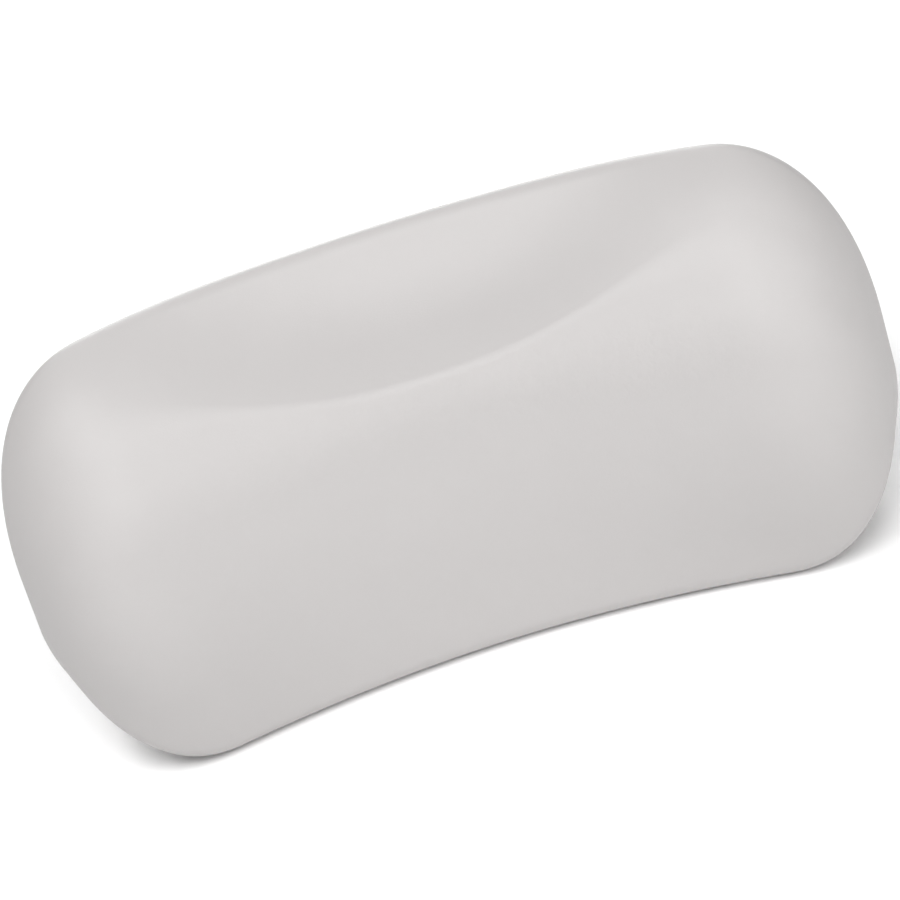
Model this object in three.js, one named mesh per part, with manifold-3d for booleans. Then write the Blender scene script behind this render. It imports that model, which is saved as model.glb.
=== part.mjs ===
// Bath pillow: a soft moulded head rest for a bathtub, held to the tub wall by two suction cups.
// Millimetres, +Z up. The front faces -Y, the bowed back faces +Y, and the origin is the middle of the base.

import * as THREE from 'three';
import { mergeVertices } from 'three/addons/utils/BufferGeometryUtils.js';
import Module from 'manifold-3d';

const wasm = await Module();
wasm.setup();

// Pillow body, in plan
const BACK_ARC = 300;             // tip to tip, along the bowed back
const BOW_RADIUS = 473;           // of the back
const BASE_DEPTH = 61;            // front to back at the base
const NOSE_REACH = 47;            // length of each rounded end, along the back
const NOSE_POWER = 2.3;           // fullness of the rounded ends: 2 is an ellipse, more is squarer
const NOSE_OUT = 30;              // the tip's distance out of the back
const NOSE_HEIGHT = 58;           // the tip's height

// Head rest, scooped into the upper front
const REST_REACH = 120;           // half its length, along the back
const REST_RISE = 2.3;            // how late its crest climbs towards the ends: more is later
const REST_FADE = 2.6;            // how softly its ends run out into the cheeks
const CREST_FADE = 4;             // how late its crest's rounding grows towards the ends: more is later

// Pillow body, in cross-section: in the middle of the head rest, and at the cheeks
const LIP_HEIGHT_MIDDLE = 139.5;
const LIP_HEIGHT_CHEEK = 132;
const LIP_INSET_MIDDLE = 0.5;     // the lip's distance in from the back
const LIP_INSET_CHEEK = 9;
const CREST_DROP_MIDDLE = 40.5;   // the crest's height below the lip
const CREST_DROP_CHEEK = 17;
const CREST_OUT_MIDDLE = 52.5;    // the crest's distance out of the back
const CREST_OUT_CHEEK = 46.5;
const SHOULDER_DROP_MIDDLE = 49;  // the shoulder's height below the lip
const SHOULDER_DROP_CHEEK = 38;
const SHOULDER_LEAD_MIDDLE = 2.7; // the shoulder's distance ahead of the crest
const SHOULDER_LEAD_CHEEK = 17;
const DISH_MIDDLE = 10.5;         // how far the dish's corner lies below the line from crest to lip
const DISH_CHEEK = -5;
const BELLY_MIDDLE = 1;           // how far the front's corner bulges ahead of the line from foot to shoulder
const BELLY_CHEEK = 8;
const HEEL_RADIUS = 6;
const FOOT_RADIUS = 7;
const SHOULDER_RADIUS_MIDDLE = 40;
const SHOULDER_RADIUS_CHEEK = 40;
const CREST_RADIUS_MIDDLE = 4.5;
const CREST_RADIUS_CHEEK = 50;
const LIP_RADIUS_MIDDLE = 9;
const LIP_RADIUS_CHEEK = 11;
const ARC_SHARE = 0.46;           // most of the way to the next corner that a rounding may take
const SWEEP_RADIUS = 900;         // of the belly and the dish, which run on until they meet their neighbours

// Skin and clearances
const SKIN = 2;
const SEAT_GAP = 0.3;             // between pieces that are seated in each other
const RUN_GAP = 0.4;              // between pieces that turn or slide on each other

// Suction cups, and the recesses that they stand in
const CUP_SPACING = 130;
const CUP_HEIGHT = 72;            // of the cup's axis, with its stud locked
const CUP_STAND_OFF = 2.5;        // sealing lip beyond the middle of the back
const UNLOCK_TRAVEL = 14;         // from the locked place down to the keyhole's entry
const BELL_RADIUS = 26;
const BELL_WALL = 2.2;            // at the crown
const BELL_LIP = 0.9;             // thickness of the sealing lip
const HOLLOW_RADIUS = 24;
const HOLLOW_DEPTH = 6.5;
const CROWN = 2;                  // between the stud's end and the hollow
const BOSS_RADIUS = 9;
const TAB_WIDTH = 10;
const TAB_REACH = 7;              // beyond the bell
const TAB_THICKNESS = 1.2;
const TAB_CORNER = 2.5;
const RECESS_FLOOR_RADIUS = 19;
const RECESS_FLARE = 0.42;        // widening per millimetre of depth

// Studs
const HEAD_RADIUS = 7;
const HEAD_THICKNESS = 3;
const NECK_RADIUS = 3.8;
const COLLAR_RADIUS = 8;
const COLLAR_THICKNESS = 1.8;
const SPIGOT_RADIUS = 3;
const FLANGE_RADIUS = 4.5;
const FLANGE_THICKNESS = 1.8;
const STUD_CHAMFER = 0.7;

// Insert plate and socket caps
const PLATE_THICKNESS = 3;
const PLATE_MARGIN = 3;           // beyond the recesses' collars
const PLATE_COVER = 1.6;          // foam and gaps between the skin and the plate's nearest corner
const PLATE_CORNER = 12;
const RIM_WIDTH = 2;
const RIB_HEIGHT = 4;
const ENTRY_PLAY = 0.6;           // round the stud's head, in the entry and in the cap
const KEY_RADIUS = 5;             // holes that the foam grows through
const KEY_COLUMNS = 4;
const KEY_ROWS = 2;
const KEY_PITCH_X = 18;
const KEY_PITCH_Z = 26;
const CAP_WALL = 1.6;
const CAP_FLANGE = 3.4;           // width of the flange round the cap
const PEG_RADIUS = 1.5;
const PEG_SHORT = 0.5;            // how far a peg stops below the plate's far face

// Fineness of the skin's two faces: sections along the pillow, and steps in each of the seven corners
const OUTER_SECTIONS = 28;
const OUTER_ARCS = [1, 2, 3, 3, 2, 4, 3];
const INNER_SECTIONS = 18;
const INNER_ARCS = [1, 1, 1, 2, 1, 3, 2];

// Fineness of the other pieces: steps in a quarter or half turn, in a full turn and along a bell's profile
const CURVE_STEPS = 4;
const RECESS_STEPS = 3;
const PEG_SIDES = 12;
const STUD_SIDES = 24;
const BELL_SIDES = 32;
const BELL_STEPS = 5;

// Places that follow from those sizes
const halfArc = BACK_ARC / 2;
const cupX = CUP_SPACING / 2;
const recessZ = CUP_HEIGHT - UNLOCK_TRAVEL / 2;
const recessEdge = RECESS_FLOOR_RADIUS + SKIN + PLATE_MARGIN;
const plateLength = CUP_SPACING + 2 * recessEdge;
const plateHeight = UNLOCK_TRAVEL + 2 * recessEdge;
const plateBack = backFace(plateLength / 2, recessZ + plateHeight / 2) - SKIN - PLATE_COVER;
const plateFront = plateBack - PLATE_THICKNESS;
const headTop = plateFront - RUN_GAP;
const headBottom = headTop - HEAD_THICKNESS;
const collarBottom = plateBack + SEAT_GAP;
const collarTop = collarBottom + COLLAR_THICKNESS;
const lipPlane = BASE_DEPTH / 2 + CUP_STAND_OFF;
const hollowTop = lipPlane - HOLLOW_DEPTH;
const flangeTop = hollowTop - CROWN - RUN_GAP;
const flangeBottom = flangeTop - FLANGE_THICKNESS;
const capFace = plateFront - SEAT_GAP;
const capCavityRadius = HEAD_RADIUS + ENTRY_PLAY;
const capCavityFloor = headBottom - RUN_GAP;
const capRadius = capCavityRadius + CAP_WALL;
const pegX = capRadius + CAP_FLANGE / 2;

// Eased share of the cheeks' shape at a distance s along the back from the middle
function cheekShare(s) {
  return 1 - (1 - (s / halfArc) ** 2) ** 2;
}

// The same share for the head rest's own sizes, which reach the cheeks' at the ends of the rest
function restShare(s) {
  const t = Math.min(1, Math.abs(s) / REST_REACH);
  return 1 - (1 - t ** REST_RISE) ** REST_FADE;
}

function mix(middle, cheek, share) {
  return middle * (1 - share) + cheek * share;
}

// Y of the back at a distance along X and a height: the back leans in towards the lip
function backFace(x, z) {
  const share = cheekShare(x);
  const setIn = mix(LIP_INSET_MIDDLE, LIP_INSET_CHEEK, share);
  const lean = setIn / mix(LIP_HEIGHT_MIDDLE, LIP_HEIGHT_CHEEK, share);
  return BASE_DEPTH / 2 - BOW_RADIUS + Math.sqrt(BOW_RADIUS ** 2 - x ** 2) - lean * z;
}

// Corners of the cross-section at s: x is the distance out of the back, y the height
function sectionCorners(s) {
  const share = cheekShare(s);
  const rest = restShare(s);
  const lip = new THREE.Vector2(
    mix(LIP_INSET_MIDDLE, LIP_INSET_CHEEK, share),
    mix(LIP_HEIGHT_MIDDLE, LIP_HEIGHT_CHEEK, share),
  );
  const crest = new THREE.Vector2(
    mix(CREST_OUT_MIDDLE, CREST_OUT_CHEEK, rest),
    lip.y - mix(CREST_DROP_MIDDLE, CREST_DROP_CHEEK, rest),
  );
  const shoulder = new THREE.Vector2(
    mix(CREST_OUT_MIDDLE + SHOULDER_LEAD_MIDDLE, CREST_OUT_CHEEK + SHOULDER_LEAD_CHEEK, share),
    lip.y - mix(SHOULDER_DROP_MIDDLE, SHOULDER_DROP_CHEEK, share),
  );
  const heel = new THREE.Vector2(0, 0);
  const foot = new THREE.Vector2(BASE_DEPTH, 0);
  const belly = foot.clone().add(shoulder).divideScalar(2);
  belly.x += mix(BELLY_MIDDLE, BELLY_CHEEK, share);
  const slope = lip.clone().sub(crest).normalize();
  const dish = crest.clone().add(lip).divideScalar(2);
  dish.addScaledVector(new THREE.Vector2(-slope.y, slope.x), mix(DISH_MIDDLE, DISH_CHEEK, rest));
  return [
    { at: heel, radius: HEEL_RADIUS },
    { at: foot, radius: FOOT_RADIUS },
    { at: belly, radius: SWEEP_RADIUS },
    { at: shoulder, radius: mix(SHOULDER_RADIUS_MIDDLE, SHOULDER_RADIUS_CHEEK, share) },
    { at: crest, radius: mix(CREST_RADIUS_MIDDLE, CREST_RADIUS_CHEEK, rest ** CREST_FADE) },
    { at: dish, radius: SWEEP_RADIUS },
    { at: lip, radius: mix(LIP_RADIUS_MIDDLE, LIP_RADIUS_CHEEK, share) },
  ];
}

// Arc that rounds a corner, as points: a rational curve whose weight makes it a true circle
function cornerArc(corner, before, after, steps) {
  const back = before.at.clone().sub(corner.at);
  const ahead = after.at.clone().sub(corner.at);
  const half = back.angleTo(ahead) / 2;
  const most = ARC_SHARE * Math.min(back.length(), ahead.length());
  const reach = Math.min(corner.radius / Math.tan(half), most);
  const start = corner.at.clone().addScaledVector(back.normalize(), reach);
  const end = corner.at.clone().addScaledVector(ahead.normalize(), reach);
  return Array.from({ length: steps + 1 }, (_, i) => {
    const t = i / steps;
    const pull = 2 * t * (1 - t) * Math.sin(half);
    const point = start.clone().multiplyScalar((1 - t) ** 2);
    point.addScaledVector(corner.at, pull).addScaledVector(end, t ** 2);
    return point.divideScalar((1 - t) ** 2 + pull + t ** 2);
  });
}

// Size of the cross-section at s, which closes to nothing at the tips
function noseScale(s) {
  const t = Math.max(0, 1 - (halfArc - Math.abs(s)) / NOSE_REACH);
  return (1 - t ** NOSE_POWER) ** (1 / NOSE_POWER);
}

// Point of the body, bent round the bow
function onBow(s, out, height) {
  const radius = BOW_RADIUS - out;
  const angle = s / BOW_RADIUS;
  const y = radius * Math.cos(angle) - BOW_RADIUS + BASE_DEPTH / 2;
  return new THREE.Vector3(radius * Math.sin(angle), y, height);
}

// Closed surface of the pillow. Sections crowd towards the tips; arcSteps is for the seven corners.
function pillowSurface(sections, arcSteps) {
  const rings = [];
  for (let i = 1; i < sections; i += 1) {
    const s = halfArc * Math.sin((i / sections - 0.5) * Math.PI);
    const scale = noseScale(s);
    const corners = sectionCorners(s);
    const outline = corners.flatMap((corner, k) => {
      const before = corners[(k + corners.length - 1) % corners.length];
      const after = corners[(k + 1) % corners.length];
      return cornerArc(corner, before, after, arcSteps[k]);
    });
    rings.push(outline.map((p) => onBow(
      s,
      NOSE_OUT + (p.x - NOSE_OUT) * scale,
      NOSE_HEIGHT + (p.y - NOSE_HEIGHT) * scale,
    )));
  }
  return loft(rings, onBow(-halfArc, NOSE_OUT, NOSE_HEIGHT), onBow(halfArc, NOSE_OUT, NOSE_HEIGHT));
}

// Closed solid through rings of as many points each, with a point at either end
function loft(rings, first, last) {
  const count = rings[0].length;
  const points = [...rings.flat(), first, last];
  const faces = [];
  for (let j = 0; j < count; j += 1) {
    const k = (j + 1) % count;
    faces.push(points.length - 2, j, k);
    for (let i = 0; i + 1 < rings.length; i += 1) {
      const low = i * count;
      const high = low + count;
      faces.push(low + j, high + k, low + k, low + j, high + j, high + k);
    }
    const end = (rings.length - 1) * count;
    faces.push(points.length - 1, end + k, end + j);
  }
  const geometry = new THREE.BufferGeometry().setFromPoints(points);
  geometry.setIndex(faces);
  return geometry;
}

// The same surface moved in along its normals
function inset(surface, depth) {
  const inner = surface.clone();
  inner.computeVertexNormals();
  const { position, normal } = inner.attributes;
  for (let i = 0; i < position.count; i += 1) {
    const point = new THREE.Vector3().fromBufferAttribute(position, i);
    point.addScaledVector(new THREE.Vector3().fromBufferAttribute(normal, i), -depth);
    position.setXYZ(i, point.x, point.y, point.z);
  }
  return inner;
}

// Solid for joining and cutting, with shared vertices and no collapsed faces
function solid(geometry) {
  const bare = geometry.clone();
  bare.deleteAttribute('normal');
  bare.deleteAttribute('uv');
  const merged = mergeVertices(bare, 1e-4);
  const faces = [];
  for (let i = 0; i < merged.index.count; i += 3) {
    const face = [0, 1, 2].map((k) => merged.index.getX(i + k));
    if (new Set(face).size === 3) faces.push(...face);
  }
  return new wasm.Manifold(new wasm.Mesh({
    numProp: 3,
    vertProperties: Float32Array.from(merged.attributes.position.array),
    triVerts: Uint32Array.from(faces),
  }));
}

function geometryOf(body) {
  const mesh = body.getMesh();
  const geometry = new THREE.BufferGeometry();
  geometry.setAttribute('position', new THREE.BufferAttribute(mesh.vertProperties, 3));
  geometry.setIndex(new THREE.BufferAttribute(mesh.triVerts, 1));
  geometry.computeVertexNormals();
  return geometry;
}

// Upright slot with round ends, as an outline in X and Z
function obround(radius, travel) {
  const shape = new THREE.Shape();
  shape.absarc(0, travel / 2, radius, 0, Math.PI, false);
  shape.absarc(0, -travel / 2, radius, Math.PI, 2 * Math.PI, false);
  return shape.closePath();
}

// Slab of an outline, from y = top towards the front
function slab(shape, top, thickness) {
  const options = { depth: thickness, bevelEnabled: false, curveSegments: CURVE_STEPS };
  return new THREE.ExtrudeGeometry(shape, options).rotateX(Math.PI / 2).translate(0, top, 0);
}

// Both cups' copy of a solid that is drawn about the recess's centre
function atBothRecesses(geometry) {
  const left = solid(geometry.clone().translate(-cupX, 0, recessZ));
  return left.add(solid(geometry.clone().translate(cupX, 0, recessZ)));
}

// Flared recess for a cup, from the plate out past the back, wider by grow all round
function recess(grow, floor) {
  const mouth = lipPlane + TAB_THICKNESS;
  const rings = [floor, mouth].map((y) => {
    const radius = RECESS_FLOOR_RADIUS + grow + (y - plateBack) * RECESS_FLARE;
    const outline = obround(radius, UNLOCK_TRAVEL).getPoints(RECESS_STEPS).slice(0, -1);
    return outline.map((p) => new THREE.Vector3(p.x, y, p.y));
  });
  return atBothRecesses(loft(rings, new THREE.Vector3(0, floor, 0), new THREE.Vector3(0, mouth, 0)));
}

// Soft skin: the outer form, hollowed, with a collar down to the plate round each recess
function coverSkin() {
  const outer = solid(pillowSurface(OUTER_SECTIONS, OUTER_ARCS));
  const inner = solid(inset(pillowSurface(INNER_SECTIONS, INNER_ARCS), SKIN));
  const hollow = inner.subtract(recess(SKIN, plateBack + SEAT_GAP));
  return geometryOf(outer.subtract(hollow).subtract(recess(0, plateBack)));
}

// Foam that fills the skin, clear of the insert, its caps and the collars
function foamCore() {
  const block = solid(inset(pillowSurface(INNER_SECTIONS, INNER_ARCS), SKIN + SEAT_GAP));
  const collars = recess(SKIN + SEAT_GAP, plateBack);
  const insert = solid(plateBlank(SEAT_GAP)).add(solid(plateRim(SEAT_GAP))).add(plateRibs(SEAT_GAP));
  const caps = atBothRecesses(capBlock(SEAT_GAP)).add(atBothRecesses(capFlange(SEAT_GAP)));
  return geometryOf(block.subtract(collars).subtract(insert).subtract(caps));
}

function roundedRectangle(width, height, radius) {
  const x = width / 2 - radius;
  const y = height / 2 - radius;
  const shape = new THREE.Shape();
  shape.absarc(x, y, radius, 0, Math.PI / 2, false);
  shape.absarc(-x, y, radius, Math.PI / 2, Math.PI, false);
  shape.absarc(-x, -y, radius, Math.PI, 1.5 * Math.PI, false);
  shape.absarc(x, -y, radius, 1.5 * Math.PI, 2 * Math.PI, false);
  return shape.closePath();
}

function circle(x, z, radius) {
  const path = new THREE.Path().absarc(x, z, radius, 0, Math.PI, false);
  return path.absarc(x, z, radius, Math.PI, 2 * Math.PI, false);
}

// Places of the holes that key the foam to the plate, between the recesses
function keyPlaces() {
  return Array.from({ length: KEY_COLUMNS * KEY_ROWS }, (_, i) => ({
    x: (i % KEY_COLUMNS - (KEY_COLUMNS - 1) / 2) * KEY_PITCH_X,
    z: (Math.floor(i / KEY_COLUMNS) - (KEY_ROWS - 1) / 2) * KEY_PITCH_Z,
  }));
}

// The plate with its foam keys, larger by grow all round
function plateBlank(grow, holes = []) {
  const outline = roundedRectangle(plateLength + 2 * grow, plateHeight + 2 * grow, PLATE_CORNER + grow);
  keyPlaces().forEach(({ x, z }) => outline.holes.push(circle(x, z, KEY_RADIUS - grow)));
  outline.holes.push(...holes);
  return slab(outline, plateBack + grow, PLATE_THICKNESS + 2 * grow).translate(0, 0, recessZ);
}

// Rim along the plate's edge, on its front
function plateRim(grow) {
  const outline = roundedRectangle(plateLength + 2 * grow, plateHeight + 2 * grow, PLATE_CORNER + grow);
  const within = 2 * (RIM_WIDTH + grow);
  const corner = PLATE_CORNER - RIM_WIDTH - grow;
  outline.holes.push(roundedRectangle(plateLength - within, plateHeight - within, corner));
  const depth = PLATE_THICKNESS / 2 + RIB_HEIGHT + grow;
  return slab(outline, plateBack - PLATE_THICKNESS / 2, depth).translate(0, 0, recessZ);
}

// Ribs from end to end above and below the caps, and one across the middle
function plateRibs(grow) {
  const depth = PLATE_THICKNESS / 2 + RIB_HEIGHT + grow;
  const y = plateBack - PLATE_THICKNESS / 2 - depth / 2;
  const along = plateLength - RIM_WIDTH;
  const rowZ = (UNLOCK_TRAVEL / 2 + capRadius + CAP_FLANGE + plateHeight / 2 - RIM_WIDTH) / 2;
  const across = new THREE.BoxGeometry(RIM_WIDTH + 2 * grow, depth, plateHeight - RIM_WIDTH);
  const upper = new THREE.BoxGeometry(along, depth, RIM_WIDTH + 2 * grow).translate(0, y, recessZ + rowZ);
  const lower = new THREE.BoxGeometry(along, depth, RIM_WIDTH + 2 * grow).translate(0, y, recessZ - rowZ);
  return solid(across.translate(0, y, recessZ)).add(solid(upper)).add(solid(lower));
}

// Keyhole about the recess's centre: a round entry below, and a slot up to the locked place
function keyhole(x) {
  const entry = HEAD_RADIUS + ENTRY_PLAY;
  const slot = NECK_RADIUS + SEAT_GAP;
  const spread = Math.asin(slot / entry);
  const path = new THREE.Path();
  path.absarc(x, UNLOCK_TRAVEL / 2, slot, 0, Math.PI, false);
  path.absarc(x, -UNLOCK_TRAVEL / 2, entry, Math.PI / 2 + spread, 2.5 * Math.PI - spread, false);
  return path.closePath();
}

function insertPlate() {
  const holes = [-cupX, cupX].flatMap((x) => [
    keyhole(x),
    circle(x - pegX, 0, PEG_RADIUS + SEAT_GAP),
    circle(x + pegX, 0, PEG_RADIUS + SEAT_GAP),
  ]);
  return geometryOf(solid(plateBlank(0, holes)).add(solid(plateRim(0))).add(plateRibs(0)));
}

// Body of a socket cap, larger by grow all round
function capBlock(grow) {
  const height = capFace - capCavityFloor + CAP_WALL;
  return slab(obround(capRadius + grow, UNLOCK_TRAVEL), capFace + grow, height + 2 * grow);
}

function capFlange(grow) {
  const outline = obround(capRadius + CAP_FLANGE + grow, UNLOCK_TRAVEL);
  return slab(outline, capFace + grow, CAP_WALL + 2 * grow);
}

// Cap that keeps the foam out of the stud's way, pegged to the plate
function socketCap() {
  const cutTop = capFace + CAP_WALL;
  const cavity = slab(obround(capCavityRadius, UNLOCK_TRAVEL), cutTop, cutTop - capCavityFloor);
  let cap = solid(capBlock(0)).add(solid(capFlange(0))).subtract(solid(cavity));
  const pegTop = plateBack - PEG_SHORT;
  const pegLength = pegTop - capFace + CAP_WALL / 2;
  for (const x of [-pegX, pegX]) {
    const peg = new THREE.CylinderGeometry(PEG_RADIUS, PEG_RADIUS, pegLength, PEG_SIDES);
    cap = cap.add(solid(peg.translate(x, pegTop - pegLength / 2, 0)));
  }
  return geometryOf(cap);
}

function revolve(profile, segments) {
  return new THREE.LatheGeometry(profile.map(([radius, y]) => new THREE.Vector2(radius, y)), segments);
}

// Stud: a head behind the plate, a neck in the keyhole, a collar on the plate, a flanged spigot for the cup
function cupStud() {
  return revolve([
    [0, headBottom],
    [HEAD_RADIUS - STUD_CHAMFER, headBottom],
    [HEAD_RADIUS, headBottom + STUD_CHAMFER],
    [HEAD_RADIUS, headTop],
    [NECK_RADIUS, headTop],
    [NECK_RADIUS, collarBottom],
    [COLLAR_RADIUS, collarBottom],
    [COLLAR_RADIUS, collarTop],
    [SPIGOT_RADIUS, collarTop],
    [SPIGOT_RADIUS, flangeBottom],
    [FLANGE_RADIUS, flangeBottom],
    [FLANGE_RADIUS, flangeTop - STUD_CHAMFER],
    [FLANGE_RADIUS - STUD_CHAMFER, flangeTop],
    [0, flangeTop],
  ], STUD_SIDES);
}

// Suction cup: a thin bell on a boss that grips the spigot's flange, with a tab to peel it off
function suctionCup() {
  const shares = Array.from({ length: BELL_STEPS + 1 }, (_, i) => i / BELL_STEPS);
  const inside = shares.map((t) => [HOLLOW_RADIUS * t, hollowTop + HOLLOW_DEPTH * t ** 2]);
  const outside = shares.map((t) => {
    const radius = BELL_RADIUS - (BELL_RADIUS - BOSS_RADIUS) * t;
    const drop = (HOLLOW_DEPTH + BELL_WALL - BELL_LIP) * (1 - (radius / BELL_RADIUS) ** 2);
    return [radius, lipPlane - BELL_LIP - drop];
  });
  const bossEnd = collarTop + RUN_GAP;
  const bell = revolve([
    ...inside,
    [BELL_RADIUS, lipPlane],
    ...outside,
    [BOSS_RADIUS, bossEnd],
    [SPIGOT_RADIUS + RUN_GAP, bossEnd],
    [SPIGOT_RADIUS + RUN_GAP, flangeBottom - RUN_GAP],
    [FLANGE_RADIUS + RUN_GAP, flangeBottom - RUN_GAP],
    [FLANGE_RADIUS + RUN_GAP, flangeTop + RUN_GAP],
    [0, flangeTop + RUN_GAP],
  ].reverse(), BELL_SIDES);
  const root = HOLLOW_RADIUS + (BELL_RADIUS - HOLLOW_RADIUS) / 2;
  const length = BELL_RADIUS + TAB_REACH - root;
  const tab = slab(roundedRectangle(TAB_WIDTH, length, TAB_CORNER), lipPlane, TAB_THICKNESS);
  return geometryOf(solid(bell).add(solid(tab.translate(0, 0, -root - length / 2))));
}

function piece(name, geometry, color, roughness) {
  const mesh = new THREE.Mesh(geometry, new THREE.MeshStandardMaterial({ color, roughness, metalness: 0 }));
  mesh.name = name;
  return mesh;
}

const bathPillow = new THREE.Group();
bathPillow.add(piece('cover_skin', coverSkin(), 0xd8d4d3, 0.5));
bathPillow.add(piece('foam_core', foamCore(), 0xe6dfcf, 0.9));
bathPillow.add(piece('insert_plate', insertPlate(), 0xb9bcc0, 0.45));
for (const [side, x] of [['left', -cupX], ['right', cupX]]) {
  const socket = new THREE.Group();
  socket.position.set(x, 0, recessZ);
  socket.add(piece(`socket_cap_${side}`, socketCap(), 0xaeb2b6, 0.45));
  bathPillow.add(socket);

  const cup = new THREE.Group();
  cup.position.set(x, 0, CUP_HEIGHT);
  cup.add(piece(`cup_stud_${side}`, cupStud(), 0xf0f0ee, 0.35));
  cup.add(piece(`suction_cup_${side}`, suctionCup(), 0xdfe6e8, 0.2));
  bathPillow.add(cup);
}

export default bathPillow;
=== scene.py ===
"""Bath pillow: a soft moulded head rest for a bathtub, held to the tub by two suction cups.

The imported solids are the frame: metres, +Z up, the front towards -Y and the bowed back towards +Y.
"""

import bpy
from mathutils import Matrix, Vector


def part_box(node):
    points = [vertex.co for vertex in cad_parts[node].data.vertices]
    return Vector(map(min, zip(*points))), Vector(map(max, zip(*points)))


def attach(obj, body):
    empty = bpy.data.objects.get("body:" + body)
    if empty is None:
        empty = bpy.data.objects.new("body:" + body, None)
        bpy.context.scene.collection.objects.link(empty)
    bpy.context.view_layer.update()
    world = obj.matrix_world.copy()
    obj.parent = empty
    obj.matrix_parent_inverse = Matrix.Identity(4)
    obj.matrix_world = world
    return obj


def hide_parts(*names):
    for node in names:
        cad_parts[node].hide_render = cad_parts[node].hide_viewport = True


bl_info = {
    "name": "Bath Pillow",
    "version": (1, 0, 0),
    "blender": (4, 5, 0),
    "location": "View3D > Sidebar > Bath Pillow",
    "description": "Builds a soft moulded bath pillow with suction cups, and a studio stage for it",
    "category": "Object",
}

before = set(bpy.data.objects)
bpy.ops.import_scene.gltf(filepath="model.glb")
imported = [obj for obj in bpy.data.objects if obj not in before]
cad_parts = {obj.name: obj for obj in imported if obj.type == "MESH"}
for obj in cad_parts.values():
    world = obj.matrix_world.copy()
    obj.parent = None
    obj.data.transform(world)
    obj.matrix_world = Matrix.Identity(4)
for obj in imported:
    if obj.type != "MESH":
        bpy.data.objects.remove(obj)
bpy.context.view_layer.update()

import math

import bpy
import numpy as np
from bpy.props import FloatProperty, FloatVectorProperty, IntProperty, PointerProperty
from mathutils import Matrix, Vector

MM = 0.001
SIDES = ("left", "right")
INSERT_NODES = ("insert_plate", "socket_cap_left", "socket_cap_right")

# Points nearer than this are merged
MERGE_DISTANCE = 0.002 * MM

# Edges that bend by more degrees than these stay sharp
SKIN_SMOOTH = 50
MOULDED_SMOOTH = 40

# Places of the hidden pieces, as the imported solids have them
PLATE_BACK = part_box("insert_plate")[1].y
SEALING_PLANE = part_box("suction_cup_left")[1].y
STUD_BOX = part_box("cup_stud_right")
CUP_X = (STUD_BOX[0].x + STUD_BOX[1].x) / 2
CUP_Z = (STUD_BOX[0].z + STUD_BOX[1].z) / 2
STUD_FOOT = STUD_BOX[0].y
STUD_TOP = STUD_BOX[1].y


def length(name, description, millimetres):
    """A size in millimetres, kept in metres."""
    return FloatProperty(
        name=name, description=description, default=millimetres * MM, unit="LENGTH", precision=4
    )


def pair(name, description, middle, cheek):
    """A size that changes from the middle of the head rest to the cheeks, in millimetres."""
    return FloatVectorProperty(
        name=name,
        description=description + ", in the middle and at the cheeks",
        default=(middle * MM, cheek * MM),
        size=2,
        unit="LENGTH",
        precision=4,
    )


def share(name, description, value, most=1.0):
    """A plain number from 0 up to most."""
    return FloatProperty(name=name, description=description, default=value, min=0, max=most)


def colour(name, description, *value):
    """A linear colour."""
    return FloatVectorProperty(
        name=name, description=description, default=value, size=3, min=0, max=1, subtype="COLOR"
    )


def angle(name, description, degrees):
    """An angle in degrees, kept in radians."""
    radians = math.radians(degrees)
    return FloatProperty(
        name=name, description=description, default=radians, subtype="ANGLE", unit="ROTATION"
    )


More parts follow.
